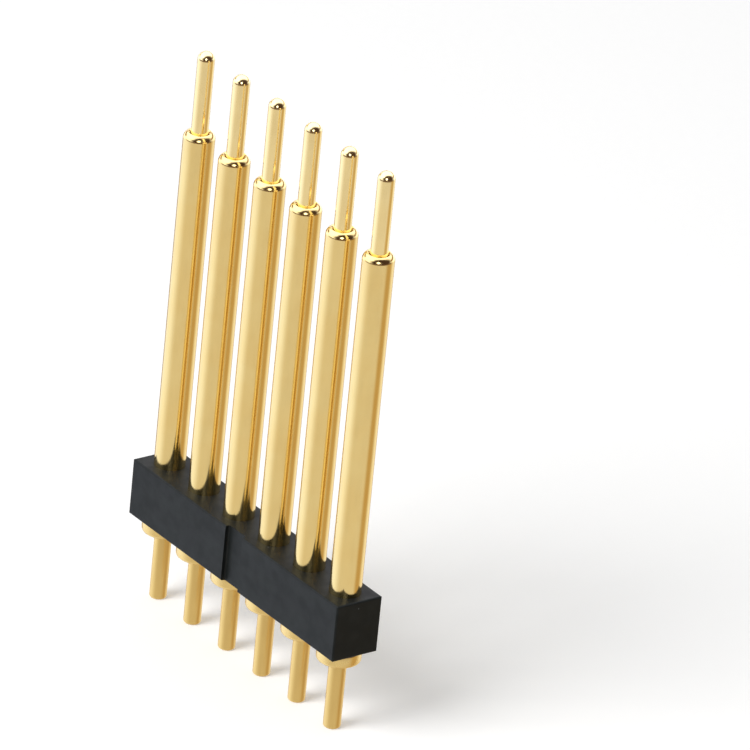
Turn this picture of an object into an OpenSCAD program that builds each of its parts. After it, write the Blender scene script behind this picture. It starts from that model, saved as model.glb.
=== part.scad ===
// Single-row spring-loaded pin connector (pogo pin strip).
// Every contact is a turned barrel with a solder tail, a plunger and a helical spring.
// The barrels are pressed from below into one moulded insulator, up to their flanges.
// The row runs along X. Z = 0 is the board's surface, under the flanges.

/* [Row] */
// Distance from one contact's axis to the next
pitch = 2.54; // [2.2:0.02:4]
// Number of contacts in the row
contact_count = 6; // [2:1:12]

/* [Insulator] */
// Width of the insulator across the row
insulator_width = 2.26; // [2.1:0.02:3.2]
// Height of the insulator
insulator_height = 2.55; // [1.5:0.05:5]
// Length of insulator beyond the axis of each end contact
end_margin = 1.06; // [0.9:0.02:1.6]
// Radius of the insulator's moulded edges
edge_round = 0.08; // [0.02:0.01:0.2]
// Width of the groove in the middle of each long side
groove_width = 1.2; // [0.6:0.02:1.6]
// Depth of that groove
groove_depth = 0.2; // [0.1:0.02:0.36]
// Radius of the groove's inner corners
groove_round = 0.08; // [0.02:0.01:0.1]

/* [Barrel] */
// Outer diameter of the barrel
barrel_d = 1.34; // [1.24:0.02:1.5]
// Height of the barrel's rim above the board
rim_height = 18.45; // [16:0.05:24]
// Thickness of the tube's wall
wall = 0.19; // [0.1:0.01:0.2]
// Depth of the bore, from the rim down to its flat floor
bore_depth = 11.5; // [10.5:0.1:13]
// Thickness of the rolled-in lip where it meets the stem
lip_thickness = 0.2; // [0.12:0.02:0.4]
// Width and depth of the bevel at the top of the lip's hole
lip_bevel = 0.08; // [0.02:0.01:0.1]
// Radius that the tube's end is rolled in to
rim_round = 0.34; // [0.1:0.02:0.5]

/* [Flange and tail] */
// Diameter of the flange that stands on the board
flange_d = 1.88; // [1.6:0.02:2.1]
// Height of the flange
flange_height = 0.6; // [0.4:0.05:1.2]
// Radius of the flange's lower edge
flange_low_round = 0.16; // [0.04:0.02:0.2]
// Radius of the flange's upper edge
flange_high_round = 0.08; // [0.04:0.02:0.2]
// Diameter of the solder tail
tail_d = 0.74; // [0.5:0.02:0.9]
// Length of the solder tail below the board's surface
tail_length = 3.1; // [2:0.1:5]
// Radius of the edge at the tail's end
tail_round = 0.1; // [0.02:0.02:0.2]

/* [Plunger] */
// Diameter of the plunger's stem and of its round tip
stem_d = 0.72; // [0.6:0.02:0.78]
// Height of the tip above the rim, when released
exposed_length = 3.6; // [3.2:0.02:5]
// Length of the piston inside the barrel, from its shoulder to its low side
piston_length = 2.4; // [1.6:0.1:3]
// Slope of the piston's bias-cut end, in degrees
bias_angle = 14; // [4:1:25]
// Part of the piston's diameter that the bias cut leaves flat
flat_share = 0.3; // [0.2:0.05:0.6]

/* [Spring] */
// Diameter of the spring's wire
wire_d = 0.13; // [0.08:0.01:0.16]
// Number of turns from one ground end to the other
turns = 24; // [12:1:30]

/* [Fits] */
// Radial gap between the stem and the lip
lip_gap = 0.03; // [0.02:0.01:0.08]
// Radial gap between the piston and the bore
piston_gap = 0.02; // [0.01:0.01:0.08]
// Radial gap between the spring and the bore
spring_gap = 0.04; // [0.02:0.01:0.08]
// Radial gap between a barrel and its seat in the insulator
seat_gap = 0.005; // [0.002:0.001:0.02]

/* [Hidden] */

$fn = 48;
// How far a cutting shape runs past the surface that it cuts
past = 0.5;
// Half turns rise by a whole number of these steps, so that their ends meet exactly
rise_step = 0.001;

row_span = (contact_count - 1) * pitch;
insulator_length = row_span + 2 * end_margin;

barrel_r = barrel_d / 2;
bore_r = barrel_r - wall;
bore_floor = rim_height - bore_depth;

stem_r = stem_d / 2;
lip_r = stem_r + lip_gap;
piston_r = bore_r - piston_gap;
// The piston's cone and the lip's cone are one surface, at 45 degrees
seat_top = rim_height - lip_thickness;
shoulder_top = seat_top + lip_gap;
shoulder_bottom = shoulder_top - (piston_r - stem_r);
piston_bottom = shoulder_bottom - piston_length;
tip_centre = rim_height + exposed_length - stem_r;
// The rim's arc meets the bevel of the lip's hole at the rim's full height
bevel_r = lip_r + lip_bevel;
rim_inward = max(0, rim_round - (barrel_r - bevel_r));
rim_centre = rim_height - sqrt(pow(rim_round, 2) - pow(rim_inward, 2));

coil_r = bore_r - spring_gap - wire_d / 2;
spring_length = piston_bottom - bore_floor;
half_turns = 2 * turns;
half_turn_rise = rise_step * round(spring_length / half_turns / rise_step);
// Each half turn is a flat arc that leans about Y, so its arc is a little wider than the coil
half_turn_lean = atan(half_turn_rise / 2 / coil_r);

// X of a contact's axis
function contact_x(i) = (i - (contact_count + 1) / 2) * pitch;

// Rectangle of size x by y, centred, with rounded corners
module rounded_rectangle(x, y, r) {
    square([x - 2 * r, y], center = true);
    square([x, y - 2 * r], center = true);
    for (sx = [-1, 1], sy = [-1, 1])
        translate([sx * (x / 2 - r), sy * (y / 2 - r)])
            circle(r);
}

// Half section of a turned cylinder between z0 and z1, with rounded outer edges
module turned_section(r, z0, z1, low_round, high_round) {
    translate([0, z0])
        square([r - low_round, 2 * low_round]);
    translate([r - low_round, z0 + low_round])
        circle(low_round);
    translate([0, z0 + low_round])
        square([r, z1 - z0 - low_round - high_round]);
    translate([r - high_round, z1 - high_round])
        circle(high_round);
    translate([0, z1 - 2 * high_round])
        square([r - high_round, 2 * high_round]);
}

// Moulded block with all twelve edges rounded, standing on the flanges' upper faces
module insulator_block() {
    translate([0, 0, flange_height + insulator_height / 2])
        intersection() {
            linear_extrude(insulator_height, center = true)
                rounded_rectangle(insulator_length, insulator_width, edge_round);
            rotate([90, 0, 0])
                linear_extrude(insulator_width, center = true)
                    rounded_rectangle(insulator_length, insulator_height, edge_round);
            rotate([90, 0, 90])
                linear_extrude(insulator_length, center = true)
                    rounded_rectangle(insulator_width, insulator_height, edge_round);
        }
}

// Shallow flat-bottomed grooves down the middle of both long sides
module groove_cuts() {
    for (side = [-1, 1])
        translate([0, side * (insulator_width / 2 + past - groove_depth), flange_height - past])
            linear_extrude(insulator_height + 2 * past)
                rounded_rectangle(groove_width, 2 * past, groove_round);
}

// One straight seat for each barrel
module seat_cuts() {
    for (i = [1 : contact_count])
        translate([contact_x(i), 0, flange_height - past])
            cylinder(r = barrel_r + seat_gap, h = insulator_height + 2 * past);
}

module insulator() {
    color("#1d1e20")
        difference() {
            insulator_block();
            groove_cuts();
            seat_cuts();
        }
}

// Blind bore with a flat floor, closed in by the lip's 45 degree seat, and bevelled where the stem comes out
module bore_section() {
    polygon([
        [0, bore_floor],
        [bore_r, bore_floor],
        [bore_r, seat_top - (bore_r - lip_r)],
        [lip_r, seat_top],
        [lip_r, rim_height - lip_bevel],
        [bevel_r + past, rim_height + past],
        [0, rim_height + past]
    ]);
}

// Half section of the tube, whose end is rolled in towards the stem
module tube_section() {
    square([barrel_r, rim_centre]);
    square([barrel_r - rim_round, rim_height]);
    intersection() {
        translate([barrel_r - rim_round, rim_centre])
            circle(rim_round);
        square([barrel_r, rim_height]);
    }
}

// Barrel, flange and solder tail, turned from one rod, with the rim rolled in over the plunger
module barrel(i) {
    color("#d8b45a")
        translate([contact_x(i), 0, 0])
            rotate_extrude()
                difference() {
                    union() {
                        turned_section(tail_d / 2, -tail_length, flange_height / 2, tail_round, tail_round);
                        turned_section(flange_d / 2, 0, flange_height, flange_low_round, flange_high_round);
                        tube_section();
                    }
                    bore_section();
                }
}

// Half a turn of wire, from the +X side round to the -X side, climbing by half_turn_rise
module half_turn() {
    translate([0, 0, half_turn_rise / 2])
        rotate([0, half_turn_lean, 0])
            rotate_extrude(angle = 180)
                translate([coil_r / cos(half_turn_lean), 0])
                    circle(d = wire_d, $fn = 24);
}

// Compression spring between the bore's floor and the piston, with its ends ground flat
module spring(i) {
    color("#b9bcc0")
        translate([contact_x(i), 0, bore_floor])
            intersection() {
                for (k = [0 : half_turns - 1])
                    translate([0, 0, k * half_turn_rise])
                        rotate([0, 0, 180 * (k % 2)])
                            half_turn();
                cylinder(r = bore_r, h = spring_length);
            }
}

// Removes the piston's end above a slope that starts at the flat part's edge
module bias_cut() {
    translate([0, piston_r * (2 * flat_share - 1), piston_bottom])
        rotate([bias_angle, 0, 0])
            translate([-bore_r, 0, -2 * piston_r])
                cube([2 * bore_r, 4 * piston_r, 2 * piston_r]);
}

// Plunger in one piece: round tip, stem, 45 degree shoulder and piston with a bias-cut end
module plunger(i) {
    color("#e3c46e")
        translate([contact_x(i), 0, 0])
            difference() {
                rotate_extrude()
                    intersection() {
                        union() {
                            translate([0, tip_centre])
                                circle(stem_r);
                            polygon([
                                [0, piston_bottom],
                                [piston_r, piston_bottom],
                                [piston_r, shoulder_bottom],
                                [stem_r, shoulder_top],
                                [stem_r, tip_centre],
                                [0, tip_centre]
                            ]);
                        }
                        translate([0, piston_bottom])
                            square([bore_r, tip_centre + stem_r - piston_bottom]);
                    }
                bias_cut();
            }
}

insulator();
for (i = [1 : contact_count]) {
    barrel(i);
    spring(i);
    plunger(i);
}
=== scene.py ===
import logging
import math
from dataclasses import dataclass, field
from enum import Enum

import bmesh
import bpy
from mathutils import Matrix, Vector


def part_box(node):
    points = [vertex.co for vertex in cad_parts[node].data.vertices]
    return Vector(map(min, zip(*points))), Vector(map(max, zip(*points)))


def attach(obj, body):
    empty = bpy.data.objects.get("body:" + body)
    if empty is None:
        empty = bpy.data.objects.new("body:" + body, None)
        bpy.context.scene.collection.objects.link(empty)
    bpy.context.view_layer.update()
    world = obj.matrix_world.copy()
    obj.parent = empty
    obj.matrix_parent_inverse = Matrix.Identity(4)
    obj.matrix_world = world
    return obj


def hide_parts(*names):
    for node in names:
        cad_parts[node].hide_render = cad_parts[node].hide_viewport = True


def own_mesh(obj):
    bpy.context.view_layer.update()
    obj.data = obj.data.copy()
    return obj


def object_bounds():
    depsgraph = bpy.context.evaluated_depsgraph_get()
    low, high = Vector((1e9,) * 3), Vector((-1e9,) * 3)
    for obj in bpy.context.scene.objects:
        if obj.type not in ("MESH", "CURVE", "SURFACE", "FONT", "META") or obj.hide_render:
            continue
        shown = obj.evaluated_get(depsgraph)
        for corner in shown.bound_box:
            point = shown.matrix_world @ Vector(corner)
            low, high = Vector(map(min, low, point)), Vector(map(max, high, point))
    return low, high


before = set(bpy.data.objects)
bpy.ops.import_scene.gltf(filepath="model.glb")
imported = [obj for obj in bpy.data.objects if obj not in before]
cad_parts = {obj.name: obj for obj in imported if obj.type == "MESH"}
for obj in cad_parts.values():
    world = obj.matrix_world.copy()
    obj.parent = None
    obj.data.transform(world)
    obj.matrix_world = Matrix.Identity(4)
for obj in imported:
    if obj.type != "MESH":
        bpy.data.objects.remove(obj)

# Dressed model of a single-row spring-loaded pin connector, and the small studio it stands in.
# Sizes in the classes below are in millimetres. Finished meshes, lamps and the camera are in metres.

MM = 0.001
# Points of a mesh that are closer than this are one point
SAME_POINT = 0.0001
CAD_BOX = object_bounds()
LOG = logging.getLogger("connector")

Colour = tuple[float, float, float]
Span = tuple[float, float]
Stretch = tuple[float, float, float]
Socket = bpy.types.NodeSocket
WHOLE: Span = (0.0, 1.0)
# Where nearly all values of a noise pattern lie
NOISE_SPAN: Span = (0.3, 0.7)


class Slot(Enum):
    """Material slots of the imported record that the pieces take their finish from."""

    INSULATOR = "insulator"
    BARREL = "barrel"
    SPRING = "spring"
    PLUNGER = "plunger"


class Body(Enum):
    """Bodies that pieces ride on. A plunger's own body is named after its node."""

    HOUSING = "housing"


class ShaderSketch:
    """Node tree of one material or world, with short calls that add and join nodes."""

    def __init__(self, tree: bpy.types.NodeTree) -> None:
        """Starts on an empty tree.

        Args:
            tree: the node tree to draw in.
        """
        self.tree = tree
        self.tree.nodes.clear()

    def add(self, kind: str, **settings: object) -> bpy.types.Node:
        """Adds a node.

        Args:
            kind: the node's type name, without the ShaderNode prefix.
            **settings: properties of the node.

        Returns:
            The new node.
        """
        node = self.tree.nodes.new("ShaderNode" + kind)
        for name, value in settings.items():
            setattr(node, name, value)
        return node

    def join(self, source: Socket, target: Socket) -> None:
        """Links an output to an input."""
        self.tree.links.new(source, target)

    def object_position(self) -> Socket:
        """Position on the piece in metres, in the shared frame."""
        return self.add("TexCoord").outputs["Object"]

    def noise(self, position: Socket, grain: float, detail: float = 2.0) -> Socket:
        """Adds a noise pattern.

        Args:
            position: the position that the pattern is read at.
            grain: size of the pattern's cells in millimetres.
            detail: octaves of finer noise on top.

        Returns:
            The pattern's value, from 0 to 1 with a mean of 0.5.
        """
        node = self.add("TexNoise")
        node.inputs["Scale"].default_value = 1 / (grain * MM)
        node.inputs["Detail"].default_value = detail
        self.join(position, node.inputs["Vector"])
        return node.outputs["Fac"]

    def stretched(self, position: Socket, scale: Stretch) -> Socket:
        """Scales a position along its axes, so that a pattern read there is drawn out.

        Args:
            position: the position to scale.
            scale: the scale along X, Y and Z. Below 1, the pattern is drawn out.

        Returns:
            The scaled position.
        """
        node = self.add("Mapping")
        node.inputs["Scale"].default_value = scale
        self.join(position, node.inputs["Vector"])
        return node.outputs["Vector"]

    def ranged(self, value: Socket, source: Span, target: Span = WHOLE) -> Socket:
        """Maps a value from one range to another by an S-shaped step, and clamps it there.

        Args:
            value: the value to map.
            source: the range that is read.
            target: the range that comes out.

        Returns:
            The mapped value.
        """
        node = self.add("MapRange", interpolation_type="SMOOTHSTEP")
        for name, number in zip(("From Min", "From Max", "To Min", "To Max"), (*source, *target)):
            node.inputs[name].default_value = number
        self.join(value, node.inputs["Value"])
        return node.outputs["Result"]

    def blended(self, share: Socket, first: Colour | Socket, second: Colour | Socket) -> Socket:
        """Mixes two colours.

        Args:
            share: the second colour's share, from 0 to 1.
            first: a colour, or the socket that gives one.
            second: a colour, or the socket that gives one.

        Returns:
            The mixed colour.
        """
        node = self.add("Mix", data_type="RGBA")
        self.join(share, node.inputs["Factor"])
        for colour, socket in ((first, node.inputs["A"]), (second, node.inputs["B"])):
            if isinstance(colour, tuple):
                socket.default_value = (*colour, 1.0)
            else:
                self.join(colour, socket)
        return node.outputs["Result"]

    def calculated(self, operation: str, first: Socket, second: Socket | float = 0.0) -> Socket:
        """Works out a sum, a product or another result of one or two numbers.

        Args:
            operation: the Math node's operation.
            first: the first number.
            second: the second number, where the operation takes one.

        Returns:
            The result.
        """
        node = self.add("Math", operation=operation)
        self.join(first, node.inputs[0])
        if isinstance(second, float):
            node.inputs[1].default_value = second
        else:
            self.join(second, node.inputs[1])
        return node.outputs["Value"]

    def spots(self, position: Socket, spacing: float, edge: Span, rarity: Span) -> Socket:
        """Scatters rare small spots.

        Args:
            position: the position that the spots are scattered over.
            spacing: size in millimetres of the cells that may each hold a spot.
            edge: the spot's soft edge, as shares of the spacing from its middle.
            rarity: the share of cells that stay empty, up to which spots fade in.

        Returns:
            1 in a spot, 0 elsewhere.
        """
        cells = self.add("TexVoronoi")
        cells.inputs["Scale"].default_value = 1 / (spacing * MM)
        self.join(position, cells.inputs["Vector"])
        spot = self.ranged(cells.outputs["Distance"], edge, (1.0, 0.0))
        return self.calculated("MULTIPLY", spot, self.ranged(cells.outputs["Color"], rarity))

    def relief(self, height: Socket, depth: float, under: Socket | None = None) -> Socket:
        """Raises a pattern from the surface.

        Args:
            height: the pattern, from 0 to 1.
            depth: its depth in millimetres.
            under: the normal of a coarser relief below this one.

        Returns:
            The surface normal with the relief.
        """
        node = self.add("Bump")
        node.inputs["Distance"].default_value = depth * MM
        self.join(height, node.inputs["Height"])
        if under is not None:
            self.join(under, node.inputs["Normal"])
        return node.outputs["Normal"]

    def shade(self, colour: Socket, roughness: Socket, normal: Socket, levels: dict[str, float]) -> None:
        """Ends a material with its shader and its output.

        Args:
            colour: the surface's colour.
            roughness: the surface's roughness.
            normal: the normal with the surface's relief.
            levels: the shader's other levels that differ from its defaults, by socket.
        """
        shader = self.add("BsdfPrincipled")
        for name, level in levels.items():
            shader.inputs[name].default_value = level
        for name, source in (("Base Color", colour), ("Roughness", roughness), ("Normal", normal)):
            self.join(source, shader.inputs[name])
        self.join(shader.outputs["BSDF"], self.add("OutputMaterial").inputs["Surface"])


@dataclass(frozen=True)
class Finish:
    """Surface finish. Each kind of finish paints its own material."""

    name: str

    def material(self) -> bpy.types.Material:
        """Makes the finish's material the first time.

        Returns:
            The material, which pieces of the same finish share.
        """
        made = bpy.data.materials.get(self.name)
        if made is None:
            made = bpy.data.materials.new(self.name)
            made.use_nodes = True
            self.paint(ShaderSketch(made.node_tree))
        return made

    def paint(self, sketch: ShaderSketch) -> None:
        """Draws the material's nodes."""
        raise NotImplementedError


@dataclass(frozen=True)
class GoldPlate(Finish):
    """Bright gold plating over turned and polished brass, satin on the flange and the tail."""

    pale: Colour = (0.89, 0.70, 0.315)
    deep: Colour = (0.88, 0.67, 0.285)
    tail: Colour = (0.84, 0.61, 0.225)
    stain: Colour = (0.42, 0.26, 0.09)
    polish: Span = (0.12, 0.20)
    satin: float = 0.22
    stain_dullness: float = 0.3
    tail_blend: Span = (-0.5, 1.0)
    cloud_grain: float = 1.4
    haze_grain: float = 0.35
    haze_stretch: Stretch = (1.0, 1.0, 0.25)
    stain_stretch: Stretch = (1.0, 1.0, 0.6)
    stain_spacing: float = 0.9
    stain_edge: Span = (0.02, 0.07)
    stain_rarity: Span = (0.80, 0.84)
    swell_grain: float = 0.8
    swell_depth: float = 0.0012
    rings_scale: float = 5200.0
    rings_waver: float = 1.5
    rings_detail: float = 2.0
    rings_depth: float = 0.00006

    def paint(self, sketch: ShaderSketch) -> None:
        """Draws cloudy plating, a polish that varies, faint turning rings and rare small stains.

        Args:
            sketch: the material's node tree, still empty.
        """
        place = sketch.object_position()
        cloud = sketch.ranged(sketch.noise(place, self.cloud_grain), NOISE_SPAN)
        axes = sketch.add("SeparateXYZ")
        sketch.join(place, axes.inputs["Vector"])
        # Deeper, more orange gold towards the bottom, blended in by height from just above the flange down
        # into the tail
        low, high = self.tail_blend
        below = sketch.ranged(axes.outputs["Z"], (low * MM, high * MM), (1.0, 0.0))
        plating = sketch.blended(below, sketch.blended(cloud, self.pale, self.deep), self.tail)
        upright = sketch.stretched(place, self.stain_stretch)
        stained = sketch.spots(upright, self.stain_spacing, self.stain_edge, self.stain_rarity)

        haze = sketch.noise(sketch.stretched(place, self.haze_stretch), self.haze_grain, detail=4.0)
        dull = sketch.calculated(
            "ADD",
            sketch.ranged(stained, WHOLE, (0.0, self.stain_dullness)),
            sketch.ranged(below, WHOLE, (0.0, self.satin)),
        )
        roughness = sketch.calculated("ADD", sketch.ranged(haze, NOISE_SPAN, self.polish), dull)

        rings = sketch.add("TexWave", wave_type="BANDS", bands_direction="Z")
        rings.inputs["Scale"].default_value = self.rings_scale
        rings.inputs["Distortion"].default_value = self.rings_waver
        rings.inputs["Detail"].default_value = self.rings_detail
        sketch.join(place, rings.inputs["Vector"])
        swell = sketch.relief(sketch.noise(place, self.swell_grain, detail=1.0), self.swell_depth)
        normal = sketch.relief(rings.outputs["Fac"], self.rings_depth, swell)

        sketch.shade(sketch.blended(stained, plating, self.stain), roughness, normal, {"Metallic": 1.0})


@dataclass(frozen=True)
class MouldedBlack(Finish):
    """Black high-temperature thermoplastic, as it leaves a fine spark-eroded mould."""

    flat: Colour = (0.0075, 0.0092, 0.0088)
    grey: Colour = (0.011, 0.0133, 0.0128)
    dust: Colour = (0.12, 0.13, 0.13)
    sheen: Span = (0.42, 0.52)
    dust_dullness: float = 0.3
    gloss_level: float = 0.16
    flow_grain: float = 0.9
    flow_stretch: Stretch = (0.35, 1.0, 1.0)
    flow_span: Span = (0.35, 0.7)
    sheen_grain: float = 0.5
    dust_spacing: float = 0.6
    dust_edge: Span = (0.03, 0.06)
    dust_rarity: Span = (0.78, 0.80)
    sink_grain: float = 1.6
    sink_depth: float = 0.0015
    spark_grain: float = 0.035
    spark_depth: float = 0.0012

    def paint(self, sketch: ShaderSketch) -> None:
        """Draws flow clouds in the resin, a fine matt grain and a few specks of dust.

        Args:
            sketch: the material's node tree, still empty.
        """
        place = sketch.object_position()
        flow = sketch.noise(sketch.stretched(place, self.flow_stretch), self.flow_grain, detail=4.0)
        resin = sketch.blended(sketch.ranged(flow, self.flow_span), self.flat, self.grey)
        dusty = sketch.spots(place, self.dust_spacing, self.dust_edge, self.dust_rarity)

        sheen = sketch.ranged(sketch.noise(place, self.sheen_grain, detail=3.0), NOISE_SPAN, self.sheen)
        dull = sketch.ranged(dusty, WHOLE, (0.0, self.dust_dullness))
        roughness = sketch.calculated("ADD", sheen, dull)
        sink = sketch.relief(sketch.noise(place, self.sink_grain, detail=1.0), self.sink_depth)
        spark = sketch.noise(place, self.spark_grain, detail=3.0)
        normal = sketch.relief(spark, self.spark_depth, sink)

        levels = {"Specular IOR Level": self.gloss_level}
        sketch.shade(sketch.blended(dusty, resin, self.dust), roughness, normal, levels)


@dataclass(frozen=True)
class SpringWire(Finish):
    """Bright drawn spring wire with fine marks along it."""

    bright: Colour = (0.66, 0.66, 0.67)
    dim: Colour = (0.48, 0.48, 0.50)
    polish: Span = (0.18, 0.34)
    mark_span: Span = (0.35, 0.65)
    mark_stretch: Stretch = (0.3, 0.3, 3.0)
    mark_grain: float = 0.06
    mark_depth: float = 0.0006

    def paint(self, sketch: ShaderSketch) -> None:
        """Draws the wire's drawing marks in its tone and its gloss.

        Args:
            sketch: the material's node tree, still empty.
        """
        place = sketch.object_position()
        marks = sketch.noise(sketch.stretched(place, self.mark_stretch), self.mark_grain, detail=4.0)
        metal = sketch.blended(sketch.ranged(marks, self.mark_span), self.bright, self.dim)
        roughness = sketch.ranged(marks, NOISE_SPAN, self.polish)
        sketch.shade(metal, roughness, sketch.relief(marks, self.mark_depth), {"Metallic": 1.0})


BARREL_GOLD = GoldPlate("barrel_gold")
PLUNGER_GOLD = GoldPlate("plunger_gold", pale=(0.99, 0.82, 0.43), deep=(0.985, 0.80, 0.40))
BLACK_RESIN = MouldedBlack("insulator_black")
WIRE_STEEL = SpringWire("spring_wire")


class Turning:
    """Half a section, drawn corner by corner in the XZ plane, which is then turned about Z."""

    def __init__(self) -> None:
        """Starts with an empty section."""
        self.mesh = bmesh.new()
        self.end: bmesh.types.BMVert | None = None
        self.rounds: list[tuple[bmesh.types.BMVert, float, int]] = []

    def to(self, radius: float, height: float, round_by: float = 0.0, steps: int = 6) -> None:
        """Draws the section on to its next corner.

        Args:
            radius: distance of the corner from the axis.
            height: height of the corner.
            round_by: how far from the corner its round starts, or 0 for a sharp corner.
            steps: number of faces round the corner.
        """
        corner = self.mesh.verts.new((radius, 0.0, height))
        if self.end is not None:
            self.mesh.edges.new((self.end, corner))
        if round_by > 0:
            self.rounds.append((corner, round_by, steps))
        self.end = corner

    def turned(self, facets: int) -> bmesh.types.BMesh:
        """Rounds the corners and turns the section full circle.

        Args:
            facets: number of faces round the axis.

        Returns:
            The closed mesh, with its faces outwards.
        """
        for corner, round_by, steps in self.rounds:
            bmesh.ops.bevel(
                self.mesh, geom=[corner], offset=round_by, offset_type="OFFSET", affect="VERTICES",
                segments=steps, profile=0.5, material=-1, clamp_overlap=False,
            )
        bmesh.ops.remove_doubles(self.mesh, verts=self.mesh.verts, dist=SAME_POINT)
        section = self.mesh.verts[:] + self.mesh.edges[:]
        bmesh.ops.spin(
            self.mesh, geom=section, cent=(0, 0, 0), axis=(0, 0, 1),
            angle=math.tau, steps=facets, use_merge=True,
        )
        bmesh.ops.remove_doubles(self.mesh, verts=self.mesh.verts, dist=SAME_POINT)
        bmesh.ops.recalc_face_normals(self.mesh, faces=self.mesh.faces)
        return self.mesh


def finished_piece(
    name: str, mesh: bmesh.types.BMesh, place: Vector, finish: Finish, crease: float = 30.0,
) -> bpy.types.Object:
    """Puts a mesh in millimetres in its place and makes it a piece in metres.

    Args:
        name: the piece's name.
        mesh: the mesh, round its own axis, which is used up.
        place: where that axis stands, in metres.
        finish: the piece's finish.
        crease: faces that meet at more than this many degrees keep a sharp edge.

    Returns:
        The new piece, whose object sits at the origin.
    """
    bmesh.ops.transform(mesh, matrix=Matrix.Translation(place) @ Matrix.Scale(MM, 4), verts=mesh.verts)
    for face in mesh.faces:
        face.smooth = True
    for edge in mesh.edges:
        edge.smooth = edge.is_manifold and edge.calc_face_angle(0.0) < math.radians(crease)
    data = bpy.data.meshes.new(name)
    mesh.to_mesh(data)
    mesh.free()
    data.materials.append(finish.material())
    piece = bpy.data.objects.new(name, data)
    bpy.context.scene.collection.objects.link(piece)
    weighted = piece.modifiers.new("face_weighted_normals", "WEIGHTED_NORMAL")
    weighted.keep_sharp = True
    weighted.weight = 100
    return piece


def cut_flat(mesh: bmesh.types.BMesh, place: Vector, outwards: Vector) -> None:
    """Cuts a closed mesh off at a plane and closes the cut.

    Args:
        mesh: the mesh, which is changed.
        place: a point of the plane.
        outwards: direction of the side that goes.
    """
    cut = bmesh.ops.bisect_plane(
        mesh, geom=mesh.verts[:] + mesh.edges[:] + mesh.faces[:],
        plane_co=place, plane_no=outwards, clear_outer=True,
    )
    rim = [part for part in cut["geom_cut"] if isinstance(part, bmesh.types.BMEdge)]
    bmesh.ops.holes_fill(mesh, edges=rim, sides=0)


def axis_of(node: str) -> Vector:
    """Finds where a turned CAD node's axis crosses the board's surface, in metres."""
    low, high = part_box(node)
    return Vector(((low.x + high.x) / 2, (low.y + high.y) / 2, 0.0))


@dataclass
class Barrel:
    """Turned tube with a rolled-in rim, a flange and a solder tail."""

    node: str
    radius: float = 0.67
    bore_radius: float = 0.48
    bore_floor: float = 6.95
    rim_height: float = 18.45
    # Where the wall's line meets the rim's slope, and how far from there the rim's round starts
    rim_corner: float = 18.3596
    rim_tangent: float = 0.195
    crest_round: float = 0.02
    lip_radius: float = 0.39
    lip_bevel: float = 0.08
    lip_bottom: float = 18.25
    flange_radius: float = 0.94
    flange_height: float = 0.6
    flange_low_round: float = 0.16
    flange_high_round: float = 0.08
    tail_radius: float = 0.37
    tail_length: float = 3.1
    tail_round: float = 0.1
    facets: int = 96

    def build(self) -> bmesh.types.BMesh:
        """Turns the barrel from its tail up to the rim and back down the bore.

        Returns:
            The closed mesh, with its faces outwards.
        """
        cone_foot = self.lip_bottom - (self.bore_radius - self.lip_radius)
        section = Turning()
        section.to(0.0, -self.tail_length)
        section.to(self.tail_radius, -self.tail_length, self.tail_round)
        section.to(self.tail_radius, 0.0)
        section.to(self.flange_radius, 0.0, self.flange_low_round)
        section.to(self.flange_radius, self.flange_height, self.flange_high_round, steps=4)
        section.to(self.radius, self.flange_height)
        section.to(self.radius, self.rim_corner, self.rim_tangent, steps=16)
        section.to(self.lip_radius + self.lip_bevel, self.rim_height, self.crest_round, steps=4)
        section.to(self.lip_radius, self.rim_height - self.lip_bevel)
        section.to(self.lip_radius, self.lip_bottom)
        section.to(self.bore_radius, cone_foot)
        section.to(self.bore_radius, self.bore_floor)
        section.to(0.0, self.bore_floor)
        return section.turned(self.facets)

    def dress(self) -> bpy.types.Object:
        """Finishes the barrel in gold, in the place of its CAD node.

        Returns:
            The barrel, which rides on the housing.
        """
        piece = finished_piece(f"{self.node}_gold", self.build(), axis_of(self.node), BARREL_GOLD)
        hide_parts(self.node)
        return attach(piece, Body.HOUSING.value)


@dataclass
class Plunger:
    """Turned plunger: round tip, stem, 45 degree shoulder and a piston with a bias-cut end."""

    node: str
    stem_radius: float = 0.36
    piston_radius: float = 0.46
    piston_bottom: float = 15.78
    shoulder_top: float = 18.28
    tip_top: float = 22.05
    bias_angle: float = 14.0
    flat_share: float = 0.3
    facets: int = 80

    def build(self) -> bmesh.types.BMesh:
        """Turns the plunger and slopes the end of its piston.

        Returns:
            The closed mesh, with its faces outwards.
        """
        shoulder_foot = self.shoulder_top - (self.piston_radius - self.stem_radius)
        section = Turning()
        section.to(0.0, self.piston_bottom)
        section.to(self.piston_radius, self.piston_bottom)
        section.to(self.piston_radius, shoulder_foot)
        section.to(self.stem_radius, self.shoulder_top)
        section.to(self.stem_radius, self.tip_top, self.stem_radius, steps=20)
        section.to(0.0, self.tip_top)
        mesh = section.turned(self.facets)
        self.cut_bias(mesh)
        return mesh

    def cut_bias(self, mesh: bmesh.types.BMesh) -> None:
        """Cuts the piston's end off above a slope that starts at the flat part's edge.

        Args:
            mesh: the turned plunger, which is changed.
        """
        slope = math.radians(self.bias_angle)
        hinge = Vector((0.0, self.piston_radius * (2 * self.flat_share - 1), self.piston_bottom))
        cut_flat(mesh, hinge, Vector((0.0, math.sin(slope), -math.cos(slope))))
        bmesh.ops.recalc_face_normals(mesh, faces=mesh.faces)

    def dress(self) -> bpy.types.Object:
        """Finishes the plunger in gold, in the place of its CAD node.

        Returns:
            The plunger, which rides on its own body.
        """
        piece = finished_piece(f"{self.node}_gold", self.build(), axis_of(self.node), PLUNGER_GOLD)
        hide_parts(self.node)
        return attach(piece, self.node)


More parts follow.
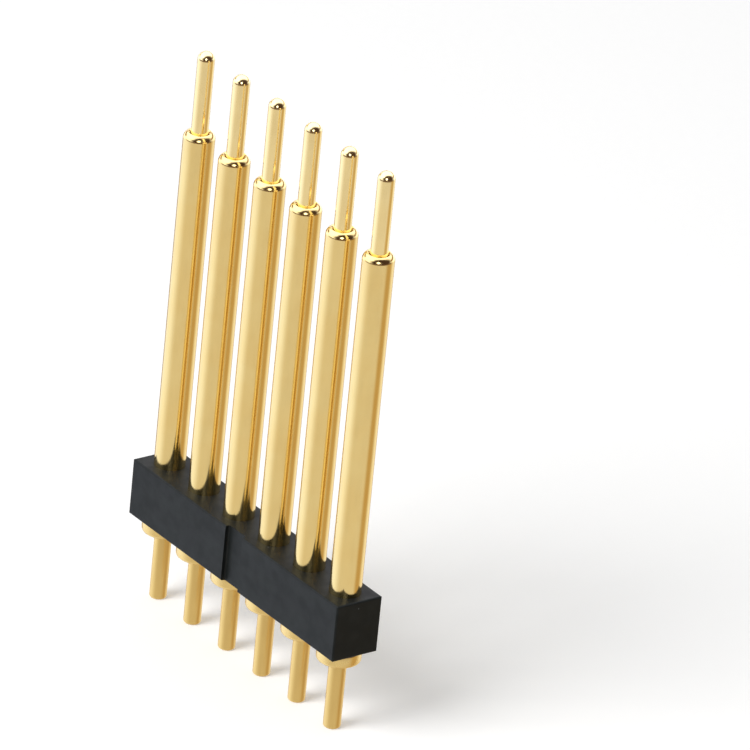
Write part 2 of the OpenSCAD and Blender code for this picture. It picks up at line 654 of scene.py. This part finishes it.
@dataclass
class CoilSpring:
    """Compression spring of round wire with its ends ground flat."""

    node: str
    joint: str
    coil_radius: float = 0.375
    wire_radius: float = 0.065
    foot: float = 6.95
    # 2 micrometres short of the piston, so that their flat ends never share a plane
    length: float = 8.828
    turns: int = 24
    facets: int = 28
    wire_facets: int = 10

    def build(self) -> bmesh.types.BMesh:
        """Winds the wire up from the bore's floor and grinds both ends flat.

        Returns:
            The closed mesh, with its faces outwards.
        """
        mesh = bmesh.new()
        upright = Matrix.Rotation(math.radians(90), 4, "X")
        stand = Matrix.Translation((self.coil_radius, 0.0, self.foot)) @ upright
        bmesh.ops.create_circle(mesh, segments=self.wire_facets, radius=self.wire_radius, matrix=stand)
        steps = self.turns * self.facets
        bmesh.ops.spin(
            mesh, geom=mesh.verts[:] + mesh.edges[:], cent=(0, 0, 0), axis=(0, 0, 1),
            dvec=(0, 0, self.length / steps), angle=math.tau * self.turns, steps=steps, use_merge=False,
        )
        bmesh.ops.holes_fill(mesh, edges=[edge for edge in mesh.edges if edge.is_boundary], sides=0)
        for height, outwards in ((self.foot, -1.0), (self.foot + self.length, 1.0)):
            cut_flat(mesh, Vector((0.0, 0.0, height)), Vector((0.0, 0.0, outwards)))
        bmesh.ops.recalc_face_normals(mesh, faces=mesh.faces)
        return mesh

    def dress(self) -> bpy.types.Object:
        """Finishes the spring, in the place of its CAD node.

        Returns:
            The spring, which rides on the housing, with a mesh of its own.
        """
        place = axis_of(self.node)
        piece = finished_piece(f"{self.node}_wire", self.build(), place, WIRE_STEEL, crease=50.0)
        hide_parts(self.node)
        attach(piece, Body.HOUSING.value)
        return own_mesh(piece)


@dataclass
class Contact:
    """One sprung contact: barrel, spring and plunger on a common axis."""

    number: int
    barrel: Barrel = field(init=False)
    spring: CoilSpring = field(init=False)
    plunger: Plunger = field(init=False)

    def __post_init__(self) -> None:
        """Names the contact's three parts after their CAD nodes."""
        self.barrel = Barrel(f"barrel_{self.number}")
        self.spring = CoilSpring(f"spring_{self.number}", f"plunger_{self.number}_press")
        self.plunger = Plunger(f"plunger_{self.number}")

    def dress(self) -> list[bpy.types.Object]:
        """Dresses the contact's parts, from the barrel inwards."""
        return [part.dress() for part in (self.barrel, self.spring, self.plunger)]


@dataclass
class Insulator:
    """Moulded bar that all the barrels are pressed into. The CAD node's own mesh stays."""

    node: str = "insulator"

    def dress(self) -> bpy.types.Object:
        """Finishes the CAD node in black resin.

        Returns:
            The CAD node's own object.
        """
        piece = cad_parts[self.node]
        piece.data.materials.clear()
        piece.data.materials.append(BLACK_RESIN.material())
        return piece


@dataclass
class Connector:
    """The whole connector: one insulator and its row of contacts."""

    contact_count: int

    def dress(self) -> list[bpy.types.Object]:
        """Dresses the insulator and each contact in turn.

        Returns:
            All the pieces.
        """
        pieces = [Insulator().dress()]
        for number in range(1, self.contact_count + 1):
            pieces += Contact(number).dress()
        return pieces


@dataclass(frozen=True)
class StudioPaper(Finish):
    """White paper that stays plain white to the lens and keeps the shadows on it."""

    paper: Colour = (0.90, 0.90, 0.90)
    fibre: Colour = (0.88, 0.88, 0.88)
    tooth_grain: float = 0.4
    tooth_span: Span = (0.2, 0.8)
    lift: float = 0.19

    def paint(self, sketch: ShaderSketch) -> None:
        """Draws paper lifted to white for the lens, with mirrors looking past it at the tent.

        Args:
            sketch: the material's node tree, still empty.
        """
        pattern = sketch.noise(sketch.object_position(), self.tooth_grain, detail=3.0)
        tooth = sketch.ranged(pattern, self.tooth_span)
        sheet = sketch.add("BsdfDiffuse")
        sketch.join(sketch.blended(tooth, self.paper, self.fibre), sheet.inputs["Color"])
        path = sketch.add("LightPath")
        glow = sketch.add("Emission")
        lift = sketch.calculated("MULTIPLY", path.outputs["Is Camera Ray"], self.lift)
        sketch.join(lift, glow.inputs["Strength"])
        lit = sketch.add("AddShader")
        sketch.join(sheet.outputs["BSDF"], lit.inputs[0])
        sketch.join(glow.outputs["Emission"], lit.inputs[1])
        chosen = sketch.add("MixShader")
        sketch.join(path.outputs["Is Glossy Ray"], chosen.inputs["Fac"])
        sketch.join(lit.outputs["Shader"], chosen.inputs[1])
        sketch.join(sketch.add("BsdfTransparent").outputs["BSDF"], chosen.inputs[2])
        sketch.join(chosen.outputs["Shader"], sketch.add("OutputMaterial").inputs["Surface"])


@dataclass(frozen=True)
class TentPanel:
    """Part of the light tent, as the connector mirrors it, with soft sides. Angles are in degrees."""

    bearing: Span
    rise: Span
    colour: Colour
    soft: float = 10.0


@dataclass(frozen=True)
class TentOval:
    """Round or oval thing that the connector mirrors: an opening in the tent, or a lamp.

    Angles are in degrees, and the soft edge is a share of the reach.
    """

    centre: tuple[float, float]
    reach: tuple[float, float]
    colour: Colour
    soft: float = 0.3


@dataclass
class LightTent:
    """Soft light from all round. Bearings run from the camera towards the right, in degrees.

    Things in the tent are painted in order, ovals first, so a later one covers an earlier one.
    """

    soft_light: float = 0.50
    cloth: Colour = (1.90, 1.94, 2.10)
    hem: float = 8.0
    ovals: tuple[TentOval, ...] = (
        TentOval(centre=(24.0, 24.0), reach=(80.0, 48.0), colour=(0.07, 0.04, 0.03), soft=0.26),
        TentOval(centre=(-88.0, 44.0), reach=(50.0, 20.0), colour=(2.10, 2.15, 2.30)),
        TentOval(centre=(3.0, 24.0), reach=(12.0, 12.0), colour=(4.0, 4.0, 4.0)),
    )
    panels: tuple[TentPanel, ...] = (
        TentPanel(bearing=(-100.0, 112.0), rise=(-40.0, 0.0), colour=(0.18, 0.11, 0.075), soft=50.0),
        TentPanel(bearing=(-200.0, -42.0), rise=(-100.0, -15.0), colour=(1.16, 1.21, 1.38)),
        TentPanel(bearing=(-70.0, 200.0), rise=(-100.0, -17.0), colour=(0.81, 0.76, 0.69), soft=62.0),
        TentPanel(bearing=(66.0, 200.0), rise=(-100.0, -14.0), colour=(0.60, 0.43, 0.21), soft=26.0),
        TentPanel(bearing=(112.0, 156.0), rise=(-100.0, -12.0), colour=(1.05, 1.01, 0.93), soft=34.0),
        TentPanel(bearing=(-200.0, -146.0), rise=(-100.0, -5.0), colour=(0.42, 0.28, 0.12), soft=16.0),
        TentPanel(bearing=(100.0, 200.0), rise=(6.0, 22.0), colour=(0.40, 0.26, 0.18), soft=8.0),
        TentPanel(bearing=(-200.0, -115.0), rise=(6.0, 22.0), colour=(0.40, 0.26, 0.18), soft=8.0),
    )

    def window(self, sketch: ShaderSketch, angle: Socket, span: Span, soft: float) -> Socket:
        """Finds where an angle lies inside a span.

        Args:
            sketch: the world's node tree.
            angle: the angle in degrees.
            span: the span's two ends in degrees.
            soft: width of the soft edge in degrees.

        Returns:
            1 inside the span, 0 outside it.
        """
        start, end = span
        rising = sketch.ranged(angle, (start - soft / 2, start + soft / 2))
        falling = sketch.ranged(angle, (end - soft / 2, end + soft / 2), (1.0, 0.0))
        return sketch.calculated("MULTIPLY", rising, falling)

    def oval(self, sketch: ShaderSketch, bearing: Socket, rise: Socket, shape: TentOval) -> Socket:
        """Finds where a direction lies inside an oval.

        Args:
            sketch: the world's node tree.
            bearing: the direction's bearing in degrees.
            rise: the direction's rise in degrees.
            shape: the oval.

        Returns:
            1 inside the oval, 0 outside it.
        """
        squares = []
        for angle, middle, half in zip((bearing, rise), shape.centre, shape.reach):
            share = sketch.calculated("MULTIPLY", sketch.calculated("SUBTRACT", angle, middle), 1 / half)
            squares.append(sketch.calculated("MULTIPLY", share, share))
        away = sketch.calculated("SQRT", sketch.calculated("ADD", *squares))
        return sketch.ranged(away, (1 - shape.soft, 1 + shape.soft), (1.0, 0.0))

    def hang(self, bearing_zero: float) -> None:
        """Hangs the tent as the scene's world.

        Args:
            bearing_zero: azimuth of the camera in degrees, which bearings start from.
        """
        world = bpy.data.worlds.new("light_tent")
        world.use_nodes = True
        bpy.context.scene.world = world
        sketch = ShaderSketch(world.node_tree)
        turned = sketch.add("VectorRotate", rotation_type="Z_AXIS")
        turned.inputs["Angle"].default_value = -math.radians(bearing_zero)
        sketch.join(sketch.add("TexCoord").outputs["Generated"], turned.inputs["Vector"])
        axes = sketch.add("SeparateXYZ")
        sketch.join(turned.outputs["Vector"], axes.inputs["Vector"])
        towards = sketch.calculated("MULTIPLY", axes.outputs["Y"], -1.0)
        bearing, rise = (
            sketch.calculated("MULTIPLY", angle, math.degrees(1.0))
            for angle in (
                sketch.calculated("ARCTAN2", axes.outputs["X"], towards),
                sketch.calculated("ARCSINE", axes.outputs["Z"]),
            )
        )

        lining = self.cloth
        for shape in self.ovals:
            lining = sketch.blended(self.oval(sketch, bearing, rise, shape), lining, shape.colour)
        for panel in self.panels:
            across = self.window(sketch, bearing, panel.bearing, panel.soft)
            upright = self.window(sketch, rise, panel.rise, self.hem)
            lining = sketch.blended(sketch.calculated("MULTIPLY", across, upright), lining, panel.colour)

        path = sketch.add("LightPath")
        light = sketch.add("Background")
        light.inputs["Strength"].default_value = self.soft_light
        mirrored = sketch.add("Background")
        sketch.join(lining, mirrored.inputs["Color"])
        white = sketch.add("Background")
        for plain in (light, white):
            plain.inputs["Color"].default_value = (1.0, 1.0, 1.0, 1.0)
        shown = light.outputs["Background"]
        for ray, seen in (("Is Glossy Ray", mirrored), ("Is Camera Ray", white)):
            chosen = sketch.add("MixShader")
            sketch.join(path.outputs[ray], chosen.inputs["Fac"])
            sketch.join(shown, chosen.inputs[1])
            sketch.join(seen.outputs["Background"], chosen.inputs[2])
            shown = chosen.outputs["Shader"]
        sketch.join(shown, sketch.add("OutputWorld").inputs["Surface"])


def heading(azimuth: float, elevation: float) -> Vector:
    """Unit vector from the connector out to a place in the studio.

    Args:
        azimuth: degrees round from -Y towards +X.
        elevation: degrees above the floor.

    Returns:
        The direction.
    """
    turn, rise = math.radians(azimuth), math.radians(elevation)
    return Vector((math.sin(turn) * math.cos(rise), -math.cos(turn) * math.cos(rise), math.sin(rise)))


@dataclass(frozen=True)
class Lamp:
    """Round soft lamp. Its mirror image is left to the tent, which has one of its own."""

    name: str
    azimuth: float
    elevation: float
    distance: float
    size: float
    power: float

    def place(self, target: Vector) -> bpy.types.Object:
        """Puts the lamp up.

        Args:
            target: the point it shines at, in metres.

        Returns:
            The lamp.
        """
        data = bpy.data.lights.new(self.name, "AREA")
        data.shape = "DISK"
        data.size = self.size * MM
        data.energy = self.power
        lamp = bpy.data.objects.new(self.name, data)
        lamp.visible_glossy = False
        bpy.context.scene.collection.objects.link(lamp)
        away = heading(self.azimuth, self.elevation)
        lamp.location = target + away * self.distance * MM
        lamp.rotation_mode = "QUATERNION"
        lamp.rotation_quaternion = (-away).to_track_quat("-Z", "Y")
        return lamp


@dataclass
class Studio:
    """Pale floor, a light tent, a key lamp that shines at the barrels' middle, and the camera."""

    floor_radius: float = 2500.0
    floor_facets: int = 64
    lit_height: float = 9.0
    key_lamp: Lamp = Lamp("key_lamp", azimuth=-5.0, elevation=42.0, distance=420.0, size=260.0, power=1.45)
    camera_azimuth: float = 51.849
    camera_elevation: float = 25.715
    camera_roll: float = 5.774
    camera_distance: float = 360.667
    # The point at the middle of the picture
    aim: tuple[float, float, float] = (2.584, 3.371, 10.589)
    lens: float = 422.719
    sensor: float = 36.0
    clip: Span = (10.0, 10000.0)

    def lay_floor(self) -> bpy.types.Object:
        """Lays the paper under the tails' ends.

        Returns:
            The floor.
        """
        mesh = bmesh.new()
        radius = self.floor_radius * MM
        bmesh.ops.create_circle(mesh, cap_ends=True, segments=self.floor_facets, radius=radius)
        data = bpy.data.meshes.new("studio_floor")
        mesh.to_mesh(data)
        mesh.free()
        data.materials.append(StudioPaper("studio_paper").material())
        floor = bpy.data.objects.new("studio_floor", data)
        floor.location.z = CAD_BOX[0].z
        bpy.context.scene.collection.objects.link(floor)
        return floor

    def set_camera(self) -> bpy.types.Object:
        """Sets the long lens up at its place and rolls it.

        Returns:
            The camera.
        """
        data = bpy.data.cameras.new("studio_camera")
        data.sensor_width = self.sensor
        data.lens = self.lens
        data.clip_start, data.clip_end = (end * MM for end in self.clip)
        camera = bpy.data.objects.new("studio_camera", data)
        bpy.context.scene.collection.objects.link(camera)
        away = heading(self.camera_azimuth, self.camera_elevation)
        level = (-away).to_track_quat("-Z", "Y")
        camera.location = (Vector(self.aim) + away * self.camera_distance) * MM
        camera.rotation_mode = "QUATERNION"
        roll = Matrix.Rotation(math.radians(self.camera_roll), 3, "Z")
        camera.rotation_quaternion = level @ roll.to_quaternion()
        bpy.context.scene.camera = camera
        return camera

    def set_up(self) -> None:
        """Builds the whole studio."""
        bpy.context.scene.view_settings.view_transform = "Standard"
        self.set_camera()
        self.lay_floor()
        LightTent().hang(self.camera_azimuth)
        self.key_lamp.place(Vector((0.0, 0.0, self.lit_height)) * MM)


def main() -> None:
    """Sets up the studio, dresses the connector and reports each piece."""
    logging.basicConfig(level=logging.INFO, format="%(name)s: %(message)s")
    Studio().set_up()
    count = sum(node.startswith("barrel_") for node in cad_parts)
    for piece in Connector(count).dress():
        LOG.info("%s: %d faces", piece.name, len(piece.data.polygons))


if __name__ == "__main__":
    main()
